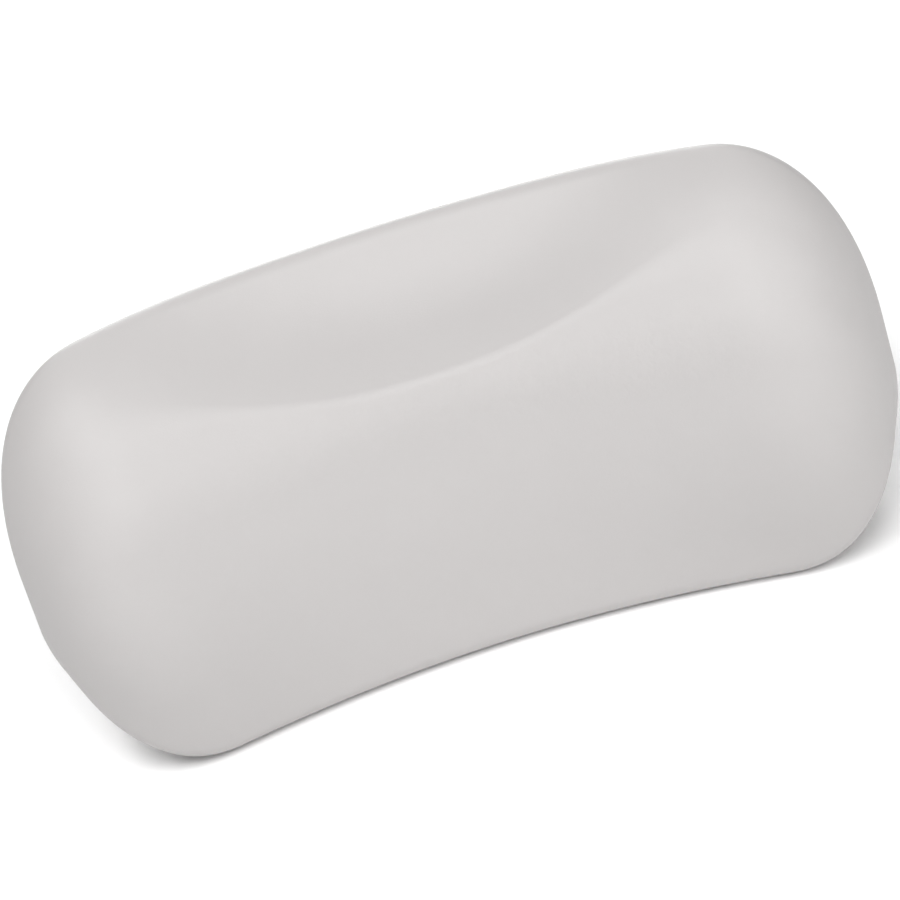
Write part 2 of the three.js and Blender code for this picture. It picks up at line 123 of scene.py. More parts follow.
class PillowForm(bpy.types.PropertyGroup):
    """Sizes of the pillow's body."""

    back_arc: length("Back arc", "Tip to tip, along the bowed back", 300)
    bow_radius: length("Bow radius", "Radius of the bowed back", 473)
    base_depth: length("Base depth", "Front to back at the base", 61)
    nose_reach: length("Nose reach", "Length of each rounded end, along the back", 47)
    nose_power: share("Nose power", "Fullness of the rounded ends: 2 is an ellipse", 2.3, 4)
    nose_out: length("Nose out", "The tip's distance out of the back", 30)
    nose_height: length("Nose height", "The tip's height", 58)
    rest_reach: length("Rest reach", "Half the length of the head rest, along the back", 120)
    rest_rise: share("Rest rise", "How late the rest's crest climbs towards its ends", 2.3, 6)
    rest_fade: share("Rest fade", "How softly the rest's ends run out into the cheeks", 2.6, 6)
    crest_fade: share("Crest fade", "How late the crest's rounding grows towards the cheeks", 4, 8)
    lip_height: pair("Lip height", "Height of the lip's corner", 139.5, 132)
    lip_inset: pair("Lip inset", "The lip's distance in from the back", 0.5, 9)
    crest_drop: pair("Crest drop", "The crest's height below the lip", 40.5, 17)
    crest_out: pair("Crest out", "The crest's distance out of the back", 52.5, 46.5)
    shoulder_drop: pair("Shoulder drop", "The shoulder's height below the lip", 49, 38)
    shoulder_lead: pair("Shoulder lead", "The shoulder's distance ahead of the crest", 2.7, 17)
    dish: pair("Dish", "Depth of the dish's corner below the line from crest to lip", 10.5, -5)
    belly: pair("Belly", "Bulge of the front's corner ahead of the line from foot to shoulder", 1, 8)
    heel_radius: pair("Heel radius", "Rounding of the back's lower edge", 6, 15)
    foot_radius: length("Foot radius", "Rounding of the front's lower edge", 7)
    shoulder_radius: pair("Shoulder radius", "Rounding of the shoulder", 40, 40)
    crest_radius: pair("Crest radius", "Rounding of the crest", 4.5, 50)
    lip_radius: pair("Lip radius", "Rounding of the lip", 9, 11)
    sweep_radius: length("Sweep radius", "Rounding of the belly and the dish", 900)
    arc_share: share("Arc share", "Most of the way to the next corner that a rounding may take", 0.46)
    skin: length("Skin", "Thickness of the skin", 2)
    seat_gap: length("Seat gap", "Gap between pieces that are seated in each other", 0.3)
    mouth_radius: length("Mouth radius", "How far the rounding of a recess's mouth reaches", 3.2)
    recess_radius: length("Recess radius", "Radius of a recess at its floor", 19)
    recess_flare: share("Recess flare", "Widening of a recess per length of depth", 0.42)
    unlock_travel: length("Unlock travel", "From the locked place down to the keyhole's entry", 14)
    sections: IntProperty(name="Sections", description="Sections along the pillow", default=190, min=40)


class CupSizes(bpy.types.PropertyGroup):
    """Sizes of the suction cups and their studs."""

    bell_radius: length("Bell radius", "Outer radius of the bell", 26)
    bell_wall: length("Bell wall", "Wall of the bell at its crown", 2.2)
    bell_lip: length("Bell lip", "Thickness of the sealing lip", 0.9)
    hollow_radius: length("Hollow radius", "Radius of the hollow at the sealing plane", 24)
    hollow_depth: length("Hollow depth", "Depth of the hollow", 6.5)
    boss_radius: length("Boss radius", "Radius of the boss that grips the stud", 9)
    tab_width: length("Tab width", "Width of the release tab", 10)
    tab_reach: length("Tab reach", "How far the tab reaches beyond the bell", 7)
    tab_thickness: length("Tab thickness", "Thickness of the tab", 1.2)
    run_gap: length("Running gap", "Gap between pieces that turn on each other", 0.4)
    head_radius: length("Head radius", "Radius of the stud's head", 7)
    head_thickness: length("Head thickness", "Thickness of the stud's head", 3)
    neck_radius: length("Neck radius", "Radius of the neck in the keyhole", 3.8)
    collar_radius: length("Collar radius", "Radius of the collar on the plate", 8)
    collar_thickness: length("Collar thickness", "Thickness of the collar", 1.8)
    spigot_radius: length("Spigot radius", "Radius of the spigot in the cup", 3)
    flange_radius: length("Flange radius", "Radius of the flange that the cup grips", 4.5)
    flange_thickness: length("Flange thickness", "Thickness of that flange", 1.8)
    edge: length("Edge", "Rounding of moulded edges", 0.5)
    steps: IntProperty(name="Steps", description="Steps round a turned piece", default=96, min=24)


class Finishes(bpy.types.PropertyGroup):
    """Colours of the materials."""

    skin: colour("Skin", "Soft polyurethane skin", 0.463, 0.448, 0.444)
    foam: colour("Foam", "Polyurethane foam", 0.78, 0.72, 0.6)
    insert: colour("Insert", "Moulded polypropylene", 0.46, 0.48, 0.5)
    stud: colour("Stud", "Moulded nylon", 0.84, 0.83, 0.8)
    cup: colour("Cup", "Clear soft vinyl", 0.93, 0.95, 0.95)
    floor: colour("Floor", "Studio floor", 0.98, 0.98, 0.98)


class StageSettings(bpy.types.PropertyGroup):
    """Camera, lights and floor."""

    elevation: angle("Elevation", "The camera's height above the horizon", 32)
    roll: angle("Roll", "Roll of the camera, which lifts the pillow's right end", 17.42)
    distance: length("Distance", "From the camera to its target", 1202)
    lens: length("Lens", "Focal length on a 36 mm sensor", 154.0)
    target_depth: length("Target depth", "The target's place front to back", -4.5)
    target_height: length("Target height", "The target's height", 65)
    shift_x: FloatProperty(
        name="Shift X", description="Lens shift across, in frame widths", default=0.0005
    )
    shift_y: FloatProperty(
        name="Shift Y", description="Lens shift up, in frame widths", default=-0.0117
    )
    sky: share("Sky", "Strength of the even light from all round", 0.03, 5)
    power: FloatProperty(
        name="Power", description="Power of the main light", default=5.62, unit="POWER"
    )
    light_size: length("Light size", "Side of each square light", 700)
    light_distance: length("Light distance", "From each light to the pillow", 1300)
    floor_size: length("Floor size", "Side of the square floor", 60000)
    floor_gap: length("Floor gap", "The floor's distance below the pillow", 0.3)


# Shape of the body

# Corners of a cross-section, from the back's lower edge round the front to the lip
CORNERS = ("heel", "foot", "belly", "shoulder", "crest", "dish", "lip")

# Steps of each corner's arc and of the run after it, for the skin and for the foam
SKIN_ARCS = (6, 8, 20, 16, 14, 28, 14)
SKIN_RUNS = (12, 3, 3, 2, 2, 3, 46)
FOAM_ARCS = (3, 3, 8, 6, 5, 10, 5)
FOAM_RUNS = (6, 2, 2, 1, 1, 2, 24)

# Rounds in which a place on the back wall and a recess's mouth settle
BACK_ROUNDS = 5
MOUTH_ROUNDS = 12

# How far the patch of back wall that a recess takes up reaches beyond its floor
PATCH_MARGIN = 16 * MM

# Steps of a recess, from the edge of its patch over its mouth and down its wall to its collar
PATCH_STEPS = 8
MOUTH_STEPS = 8
WALL_STEPS = 5
COLLAR_STEPS = 4

# The collar at a recess's floor: the legs of its bend, and the straight end below that
COLLAR_BEND = 0.55 * MM
COLLAR_END = 0.3 * MM


def mix(sizes, cheek):
    """Size between the middle's and the cheeks', by the cheeks' share."""
    return sizes[0] * (1 - cheek) + sizes[1] * cheek


def cheek_share(form, s):
    """Eased share of the cheeks' shape at a distance s along the back from the middle."""
    return 1 - (1 - (2 * s / form.back_arc) ** 2) ** 2


def rest_share(form, s):
    """The same share for the head rest's own sizes, which reach the cheeks' at the ends of the rest."""
    t = np.minimum(1, np.abs(s) / form.rest_reach)
    return 1 - (1 - t**form.rest_rise) ** form.rest_fade


def section_corners(form, s):
    """Corners (n, 7, 2) of the cross-sections at s, and the radii (n, 7) of their rounding.

    A corner is its distance out of the back and its height. The heel is at the origin.
    """
    cheek = cheek_share(form, s)
    rest = rest_share(form, s)
    corners = np.zeros((len(s), len(CORNERS), 2))
    foot, belly, shoulder, crest, dish, lip = (corners[:, k] for k in range(1, len(CORNERS)))
    foot[:, 0] = form.base_depth
    lip[:, 0] = mix(form.lip_inset, cheek)
    lip[:, 1] = mix(form.lip_height, cheek)
    crest[:, 0] = mix(form.crest_out, rest)
    crest[:, 1] = lip[:, 1] - mix(form.crest_drop, rest)
    shoulder[:, 0] = mix(form.crest_out, cheek) + mix(form.shoulder_lead, cheek)
    shoulder[:, 1] = lip[:, 1] - mix(form.shoulder_drop, cheek)
    belly[:] = (foot + shoulder) / 2
    belly[:, 0] += mix(form.belly, cheek)
    slope = lip - crest
    slope /= np.linalg.norm(slope, axis=1)[:, None]
    dish[:] = (crest + lip) / 2
    dish += np.stack([-slope[:, 1], slope[:, 0]], 1) * mix(form.dish, rest)[:, None]
    radii = {
        "heel": mix(form.heel_radius, cheek),
        "foot": form.foot_radius,
        "belly": form.sweep_radius,
        "shoulder": mix(form.shoulder_radius, cheek),
        "crest": mix(form.crest_radius, rest**form.crest_fade),
        "dish": form.sweep_radius,
        "lip": mix(form.lip_radius, cheek),
    }
    return corners, np.stack(np.broadcast_arrays(*(radii[name] for name in CORNERS)), 1)


def arc(start, corner, end, steps):
    """Points (n, steps + 1, d) of the arcs that touch both legs of n corners, from start to end."""
    back = start - corner
    ahead = end - corner
    spread = np.linalg.norm(back, axis=1) * np.linalg.norm(ahead, axis=1)
    weight = np.sqrt((1 - np.clip((back * ahead).sum(1) / spread, -1, 1)) / 2)[:, None, None]
    t = np.linspace(0, 1, steps + 1)[None, :, None]
    pull = 2 * t * (1 - t) * weight
    points = start[:, None] * (1 - t) ** 2 + corner[:, None] * pull + end[:, None] * t**2
    return points / ((1 - t) ** 2 + pull + t**2)


def section_outlines(form, s, arc_steps, run_steps):
    """Outlines (n, m, 2) of the cross-sections: each corner's arc, then the run to the next one."""
    corners, radii = section_corners(form, s)
    count = len(CORNERS)
    arcs = []
    for k in range(count):
        corner = corners[:, k]
        back = corners[:, k - 1] - corner
        ahead = corners[:, (k + 1) % count] - corner
        back_length = np.linalg.norm(back, axis=1)
        ahead_length = np.linalg.norm(ahead, axis=1)
        half = np.arccos(np.clip((back * ahead).sum(1) / back_length / ahead_length, -1, 1)) / 2
        most = form.arc_share * np.minimum(back_length, ahead_length)
        reach = np.minimum(radii[:, k] / np.tan(half), most)
        start = corner + back * (reach / back_length)[:, None]
        end = corner + ahead * (reach / ahead_length)[:, None]
        arcs.append(arc(start, corner, end, arc_steps[k]))
    pieces = []
    for k in range(count):
        pieces.append(arcs[k])
        start = arcs[k][:, -1:]
        end = arcs[(k + 1) % count][:, :1]
        t = np.arange(1, run_steps[k] + 1)[None, :, None] / (run_steps[k] + 1)
        pieces.append(start + (end - start) * t)
    return np.concatenate(pieces, 1)


def nose_scale(form, s):
    """Size of the cross-section at s, which closes to nothing at the tips."""
    t = np.maximum(0, 1 - (form.back_arc / 2 - np.abs(s)) / form.nose_reach)
    return (1 - t**form.nose_power) ** (1 / form.nose_power)


def on_bow(form, s, out, height):
    """Points of the body, bent round the bow."""
    radius = form.bow_radius - out
    turn = s / form.bow_radius
    y = radius * np.cos(turn) - form.bow_radius + form.base_depth / 2
    return np.stack(np.broadcast_arrays(radius * np.sin(turn), y, height), -1)


def on_back(form, x, z):
    """Points of the back wall, which leans in towards the lip, at places across and up."""
    s = x
    for _ in range(BACK_ROUNDS):
        cheek = cheek_share(form, s)
        out = z * mix(form.lip_inset, cheek) / mix(form.lip_height, cheek)
        s = form.bow_radius * np.arcsin(x / (form.bow_radius - out))
    return on_bow(form, s, out, z)


def recess_rings(form, edge, side):
    """Rings of points from an edge in the back wall round a recess's mouth and down to its floor."""
    centre_z = CUP_Z - form.unlock_travel / 2
    dx = edge[:, 0] - side * CUP_X
    dz = edge[:, 2] - centre_z
    anchor = np.clip(dz, -form.unlock_travel / 2, form.unlock_travel / 2)
    ways = np.stack([dx, dz - anchor], 1)
    ways /= np.linalg.norm(ways, axis=1)[:, None]

    def outline(radius):
        """Places across and up at a radius from the stud's way along its keyhole."""
        return side * CUP_X + radius * ways[:, 0], centre_z + anchor + radius * ways[:, 1]

    def wall(radius, y):
        """Points at a radius and a depth."""
        x, z = outline(radius)
        return np.stack(np.broadcast_arrays(x, y, z), -1)

    mouth = np.full(len(edge), form.recess_radius)
    for _ in range(MOUTH_ROUNDS):
        depth = on_back(form, *outline(mouth))[:, 1] - PLATE_BACK
        mouth = form.recess_radius + depth * form.recess_flare
    corner = on_back(form, *outline(mouth))
    outer = on_back(form, *outline(mouth + form.mouth_radius))
    fall = form.mouth_radius / math.hypot(1, form.recess_flare)
    inner = wall(mouth - fall * form.recess_flare, corner[:, 1] - fall)
    rings = []
    start_x, start_z = edge[:, 0], edge[:, 2]
    end_x, end_z = outline(mouth + form.mouth_radius)
    for t in np.linspace(0, 1, PATCH_STEPS + 1)[1:-1]:
        rings.append(on_back(form, start_x + (end_x - start_x) * t, start_z + (end_z - start_z) * t))
    rings += list(arc(outer, corner, inner, MOUTH_STEPS).swapaxes(0, 1))
    floor = PLATE_BACK + form.seat_gap
    rise = COLLAR_END + COLLAR_BEND
    radius = form.recess_radius + form.recess_flare * (form.seat_gap + rise)
    collar_top = wall(radius + form.recess_flare * COLLAR_BEND, floor + rise + COLLAR_BEND)
    collar_corner = wall(radius, floor + rise)
    collar_foot = wall(radius, floor + COLLAR_END)
    for t in np.linspace(0, 1, WALL_STEPS + 1)[1:-1]:
        rings.append(inner + (collar_top - inner) * t)
    rings += list(arc(collar_top, collar_corner, collar_foot, COLLAR_STEPS).swapaxes(0, 1))
    rings.append(wall(radius, floor + COLLAR_END / 2))
    rings.append(wall(radius, floor))
    return rings


def pillow_surface(form, sections, arc_steps, run_steps):
    """Points and faces of the body, with a recess for each cup that is open at its floor."""
    half = form.back_arc / 2
    s = half * np.sin(np.linspace(-0.5, 0.5, sections + 1)[1:-1] * math.pi)
    nose = np.array([form.nose_out, form.nose_height])
    scale = nose_scale(form, s)[:, None, None]
    outlines = nose + (section_outlines(form, s, arc_steps, run_steps) - nose) * scale
    grid = on_bow(form, s[:, None], outlines[..., 0], outlines[..., 1])
    count, around = grid.shape[:2]
    index = np.arange(count * around).reshape(count, around)
    following = np.roll(index, -1, axis=1)
    quads = np.stack([index[:-1], following[:-1], following[1:], index[1:]], -1)
    kept = np.ones(quads.shape[:2], bool)
    points = [grid.reshape(-1, 3), on_bow(form, np.array([-half, half]), *nose[:, None])]
    total = count * around + 2
    faces = []
    back = np.arange(around - run_steps[-1], around)
    reach = form.recess_radius + PATCH_MARGIN
    middle = CUP_Z - form.unlock_travel / 2
    for side in (-1, 1):
        columns = np.flatnonzero(np.abs(s - side * CUP_X) < reach)
        heights = grid[columns[len(columns) // 2], back, 2]
        rows = back[np.abs(heights - middle) < reach + form.unlock_travel / 2]
        left, right = columns[[0, -1]]
        top, bottom = rows[[0, -1]]
        kept[left:right, top:bottom] = False
        edge = np.concatenate([
            index[left:right, top],
            index[right, top:bottom],
            index[right:left:-1, bottom],
            index[left, bottom:top:-1],
        ])
        before = edge
        for ring in recess_rings(form, grid.reshape(-1, 3)[edge], side):
            ahead = total + np.arange(len(edge))
            faces.append(np.stack([before, np.roll(before, -1), np.roll(ahead, -1), ahead], 1))
            points.append(ring)
            total += len(edge)
            before = ahead
    faces.append(quads[kept])
    for tip, ring in ((count * around, index[0]), (count * around + 1, index[-1])):
        faces.append(np.stack([np.full(around, tip), ring, np.roll(ring, -1)], 1))
    return drop_unused(np.concatenate(points), [face for group in faces for face in group.tolist()])


def drop_unused(points, faces):
    """Points that the faces use, and the faces with their new numbers."""
    used = np.unique(np.concatenate([np.array(face) for face in faces]))
    number = np.zeros(len(points), int)
    number[used] = np.arange(len(used))
    return points[used], [number[face].tolist() for face in faces]


# Modelling steps


def only(piece):
    """Selects one object alone and makes it the active one."""
    bpy.ops.object.select_all(action="DESELECT")
    piece.select_set(True)
    bpy.context.view_layer.objects.active = piece


def mesh_piece(name, points, faces):
    """New object from points and faces, with its faces turned outwards."""
    mesh = bpy.data.meshes.new(name)
    mesh.from_pydata(points.tolist(), [], faces)
    piece = bpy.data.objects.new(name, mesh)
    bpy.context.scene.collection.objects.link(piece)
    turn_outwards(piece)
    return piece


def edit(piece, by="VERT"):
    """Opens a piece in edit mode with everything selected."""
    only(piece)
    bpy.ops.object.mode_set(mode="EDIT")
    bpy.ops.mesh.select_mode(type=by)
    bpy.ops.mesh.select_all(action="SELECT")


def done():
    """Back to object mode."""
    bpy.ops.object.mode_set(mode="OBJECT")


def turn_outwards(piece):
    """Turns a piece's faces outwards."""
    edit(piece)
    bpy.ops.mesh.normals_make_consistent(inside=False)
    done()


def apply(piece, kind, **settings):
    """Adds a modifier and applies it."""
    modifier = piece.modifiers.new(kind.title(), kind)
    for name, value in settings.items():
        setattr(modifier, name, value)
    only(piece)
    bpy.ops.object.modifier_apply(modifier=modifier.name)


def largest_island(piece):
    """Keeps the largest of a piece's separate parts."""
    name = piece.name
    edit(piece)
    bpy.ops.mesh.separate(type="LOOSE")
    done()
    parts = sorted(bpy.context.selected_objects, key=lambda part: len(part.data.vertices))
    for part in parts[:-1]:
        bpy.data.objects.remove(part)
    parts[-1].name = name
    parts[-1].data.name = name
    return parts[-1]


def smooth(piece, degrees):
    """Smooth shading, with the edges sharper than an angle left sharp."""
    only(piece)
    bpy.ops.object.shade_smooth_by_angle(angle=math.radians(degrees))


def eased(corners, edge, steps=4, most=0.45):
    """Profile whose corners are rounded by edge, or by most of their shorter leg where it is short."""
    points = [np.array(corner, float) for corner in corners]
    profile = [points[0]]
    for before, corner, after in zip(points, points[1:], points[2:]):
        back = before - corner
        ahead = after - corner
        reach = min(edge, most * np.linalg.norm(back), most * np.linalg.norm(ahead))
        start = corner + back * reach / np.linalg.norm(back)
        end = corner + ahead * reach / np.linalg.norm(ahead)
        profile += list(arc(start[None], corner[None], end[None], steps)[0])
    return profile + [points[-1]]


def spun(name, profile, steps):
    """Turned piece about the Y axis: a vertex is drawn along a profile of radius and y, and spun."""
    bpy.ops.object.select_all(action="DESELECT")
    bpy.ops.mesh.primitive_plane_add(size=1)
    piece = bpy.context.object
    piece.name = name
    piece.data.name = name
    edit(piece)
    bpy.ops.mesh.merge(type="CENTER")
    bpy.ops.transform.translate(value=(profile[0][0], profile[0][1], 0))
    for before, after in zip(profile, profile[1:]):
        move = after - before
        bpy.ops.mesh.extrude_vertices_move(TRANSFORM_OT_translate={"value": (move[0], move[1], 0)})
    bpy.ops.mesh.select_all(action="SELECT")
    bpy.ops.mesh.spin(steps=steps, angle=math.tau, center=(0, 0, 0), axis=(0, 1, 0))
    bpy.ops.mesh.select_all(action="SELECT")
    bpy.ops.mesh.remove_doubles(threshold=MERGE_DISTANCE)
    bpy.ops.mesh.normals_make_consistent(inside=False)
    done()
    return piece


def shifted(piece, offset):
    """Moves a mesh inside its object."""
    edit(piece)
    bpy.ops.transform.translate(value=offset)
    done()
    return piece


def pair_of(piece, name):
    """Left and right copies of a piece that is modelled about the Y axis, each with its own mesh."""
    only(piece)
    bpy.ops.object.duplicate()
    other = bpy.context.object
    for copy, side, sign in zip((piece, other), SIDES, (-1, 1)):
        copy.name = f"{name}_{side}"
        copy.data.name = copy.name
        shifted(copy, (sign * CUP_X, 0, CUP_Z))
    return piece, other


# Materials


class Wire:
    """An output of a node, so that shader maths reads as arithmetic."""

    def __init__(self, finish, socket):
        self.finish = finish
        self.socket = socket

    def math(self, operation, first, second):
        """Adds a Math node on two values."""
        return self.finish.node("ShaderNodeMath", {"operation": operation}, {0: first, 1: second})

    def __add__(self, other):
        return self.math("ADD", self, other)

    def __radd__(self, other):
        return self.math("ADD", other, self)

    def __sub__(self, other):
        return self.math("SUBTRACT", self, other)

    def __rsub__(self, other):
        return self.math("SUBTRACT", other, self)

    def __mul__(self, other):
        return self.math("MULTIPLY", self, other)

    def __rmul__(self, other):
        return self.math("MULTIPLY", other, self)


class Finish:
    """A new node material, and the one method that adds its nodes."""

    def __init__(self, name):
        self.material = bpy.data.materials.new(name)
        self.material.use_nodes = True
        self.tree = self.material.node_tree
        self.tree.nodes.clear()

    def node(self, kind, settings=None, sockets=None, output=0):
        """Adds a node with its settings, then its sockets' values or links, and gives one output."""
        node = self.tree.nodes.new(kind)
        for name, value in (settings or {}).items():
            setattr(node, name, value)
        for name, value in (sockets or {}).items():
            if isinstance(value, Wire):
                self.tree.links.new(value.socket, node.inputs[name])
            else:
                node.inputs[name].default_value = value
        return Wire(self, node.outputs[output]) if len(node.outputs) else None

    def place(self):
        """The piece's own coordinates, in metres."""
        return self.node("ShaderNodeTexCoord", output="Object")

    def parts(self, place):
        """A place's three parts: across, front to back, and up."""
        return [self.node("ShaderNodeSeparateXYZ", {}, {0: place}, axis) for axis in range(3)]

    def noise(self, place, scale, detail):
        """Noise from 0 to 1 with about scale lumps a metre, and with finer lumps by its detail."""
        sockets = {"Vector": place, "Scale": scale, "Detail": detail}
        return self.node("ShaderNodeTexNoise", {}, sockets)

    def cells(self, place, scale):
        """Distance from the nearest of scattered points, about scale of them to a metre."""
        sockets = {"Vector": place, "Scale": scale}
        return self.node("ShaderNodeTexVoronoi", {"feature": "F1"}, sockets, "Distance")

    def window(self, value, middle, half_width):
        """1 at a middle value, and 0 from a half width away from it."""
        away = (value - middle) * (1 / half_width)
        inside = 1 - away * away
        return self.node("ShaderNodeMath", {"operation": "MAXIMUM"}, {0: inside, 1: 0})

    def blend(self, factor, first, second):
        """Colour between two colours."""
        settings = {"data_type": "RGBA", "blend_type": "MIX"}
        return self.node("ShaderNodeMix", settings, {0: factor, 6: first, 7: second}, output=2)

    def bump(self, height, strength, distance):
        """Normal of a fine relief, in which a height of 1 stands for a distance."""
        sockets = {"Height": height, "Strength": strength, "Distance": distance}
        return self.node("ShaderNodeBump", {}, sockets)

    def shade(self, **sockets):
        """Ends the material in one surface shader."""
        named = {name.replace("_", " "): value for name, value in sockets.items()}
        surface = self.node("ShaderNodeBsdfPrincipled", {}, named)
        self.node("ShaderNodeOutputMaterial", {}, {"Surface": surface})
        return self.material


def tone(base, factor):
    """A colour made lighter or darker, as four numbers."""
    return (*(min(1, part * factor) for part in base), 1)


def skin_finish(base):
    """Satin polyurethane skin: clouds of tone, a fine pore grain, and faint creases below the crest."""
    finish = Finish("soft_skin")
    place = finish.place()
    across, depth, height = finish.parts(place)
    in_middle = finish.window(across, middle=0.02, half_width=0.1)
    on_front = finish.window(depth, middle=-0.035, half_width=0.03)
    under_crest = finish.window(height, middle=0.09, half_width=0.014)
    creases = finish.noise(place, scale=380, detail=3) * in_middle * on_front * under_crest
    clouds = finish.noise(place, scale=34, detail=3)
    grain = finish.noise(place, scale=2400, detail=2)
    swell = finish.noise(place, scale=70, detail=1)
    pores = finish.cells(place, scale=1500)
    factor = 0.25 + 0.35 * clouds + 0.3 * grain
    relief = 0.5 * pores + 0.35 * grain + 3 * swell + 16 * creases
    return finish.shade(
        Base_Color=finish.blend(factor, tone(base, 0.95), tone(base, 1.05)),
        Roughness=0.42 + 0.12 * grain + 0.06 * clouds,
        Specular_IOR_Level=0.35,
        Normal=finish.bump(relief, strength=0.12, distance=0.25 * MM),
    )


def foam_finish(base):
    """Open-celled foam: small round cells, with painted shade that darkens each cell's pit."""
    finish = Finish("foam_cells")
    place = finish.place()
    cells = finish.cells(place, scale=900)
    clouds = finish.noise(place, scale=60, detail=2)
    return finish.shade(
        # Painted shade: the base colour is darkest at each cell's middle, where the bump sinks a pit
        Base_Color=finish.blend(0.7 * cells + 0.3 * clouds, tone(base, 0.8), tone(base, 1.1)),
        Roughness=0.85 + 0.1 * clouds,
        Specular_IOR_Level=0.2,
        Normal=finish.bump(cells, strength=0.5, distance=0.6 * MM),
    )


def plastic_finish(name, base, roughness, grain_scale, strength):
    """Moulded plastic with a fine spark-eroded grain and slight flow marks."""
    finish = Finish(name)
    place = finish.place()
    grain = finish.noise(place, grain_scale, detail=2)
    flow = finish.noise(place, scale=90, detail=3)
    return finish.shade(
        Base_Color=finish.blend(flow, tone(base, 0.94), tone(base, 1.06)),
        Roughness=roughness - 0.06 + 0.12 * grain,
        Normal=finish.bump(grain, strength, distance=0.1 * MM),
    )


def vinyl_finish(base):
    """Clear soft vinyl, slightly clouded."""
    finish = Finish("clear_vinyl")
    place = finish.place()
    haze = finish.noise(place, scale=160, detail=3)
    smears = finish.noise(place, scale=420, detail=2)
    return finish.shade(
        Base_Color=finish.blend(haze, tone(base, 0.97), tone(base, 1.03)),
        Roughness=0.06 + 0.08 * smears,
        Transmission_Weight=0.9,
        IOR=1.48,
        Normal=finish.bump(smears, strength=0.05, distance=0.1 * MM),
    )


def floor_finish(base):
    """Plain pale studio floor that runs out into a lit white ground."""
    finish = Finish("studio_floor")
    place = finish.place()
    clouds = finish.noise(place, scale=3, detail=2)
    away = finish.node("ShaderNodeVectorMath", {"operation": "LENGTH"}, {0: place}, "Value")
    lit_from = {"Value": away, "From Min": 0.6, "From Max": 1.3}
    far = finish.node("ShaderNodeMapRange", {"interpolation_type": "SMOOTHSTEP"}, lit_from)
    return finish.shade(
        Base_Color=finish.blend(clouds, tone(base, 0.995), tone(base, 1.005)),
        Roughness=0.9,
        Specular_IOR_Level=0.1,
        Emission_Color=finish.blend(far, (0, 0, 0, 1), (1, 1, 1, 1)),
        Emission_Strength=1.0,
    )


def dress(piece, material):
    """Gives a piece one material all over."""
    piece.data.materials.clear()
    piece.data.materials.append(material)


# Operators

# Steps from the middle of a suction bell to its rim
BELL_STEPS = 24

# Soft lights: degrees round from the front to the right, degrees up, share of the main light's power
LIGHTS = {
    "main_light": (-15, 58, 1.0),
    "second_light": (15, 58, 0.57),
    "left_light": (-60, 58, 1.12),
    "front_light": (0, 35, 0.78),
    "right_light": (50, 35, 0.52),
    "low_right_light": (50, 12, 0.42),
    "back_left_light": (-150, 40, 0.5),
    "back_right_light": (150, 40, 0.5),
    "low_back_light": (180, 12, 1.3),
}


class PILLOW_OT_skin(bpy.types.Operator):
    """Adds the soft skin with its two recesses"""

    bl_idname = "pillow.skin"
    bl_label = "Add skin"

    def execute(self, context):
        form = context.scene.pillow_form
        points, faces = pillow_surface(form, form.sections, SKIN_ARCS, SKIN_RUNS)
        skin = mesh_piece("pillow_skin", points, faces)
        apply(skin, "SOLIDIFY", thickness=form.skin, offset=-1, use_rim=True)
        smooth(skin, SKIN_SMOOTH)
        dress(skin, skin_finish(context.scene.pillow_finishes.skin))
        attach(skin, "pillow")
        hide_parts("cover_skin")
        return {"FINISHED"}


class PILLOW_OT_studs(bpy.types.Operator):
    """Adds the headed studs that lock in the insert's keyholes"""

    bl_idname = "pillow.studs"
    bl_label = "Add studs"

    def execute(self, context):
        form = context.scene.pillow_form
        cup = context.scene.pillow_cups
        head_top = STUD_FOOT + cup.head_thickness
        collar_foot = PLATE_BACK + form.seat_gap
        collar_top = collar_foot + cup.collar_thickness
        flange_foot = STUD_TOP - cup.flange_thickness
        corners = [
            (0, STUD_FOOT),
            (cup.head_radius, STUD_FOOT),
            (cup.head_radius, head_top),
            (cup.neck_radius, head_top),
            (cup.neck_radius, collar_foot),
            (cup.collar_radius, collar_foot),
            (cup.collar_radius, collar_top),
            (cup.spigot_radius, collar_top),
            (cup.spigot_radius, flange_foot),
            (cup.flange_radius, flange_foot),
            (cup.flange_radius, STUD_TOP),
            (0, STUD_TOP),
        ]
        stud = spun("cup_lock_stud", eased(corners, cup.edge), cup.steps)
        base = context.scene.pillow_finishes.stud
        material = plastic_finish("moulded_nylon", base, roughness=0.34, grain_scale=1800, strength=0.06)
        for piece, side in zip(pair_of(stud, "lock_stud"), SIDES):
            smooth(piece, MOULDED_SMOOTH)
            dress(piece, material)
            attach(piece, f"{side}_stud")
            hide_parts(f"cup_stud_{side}")
        return {"FINISHED"}


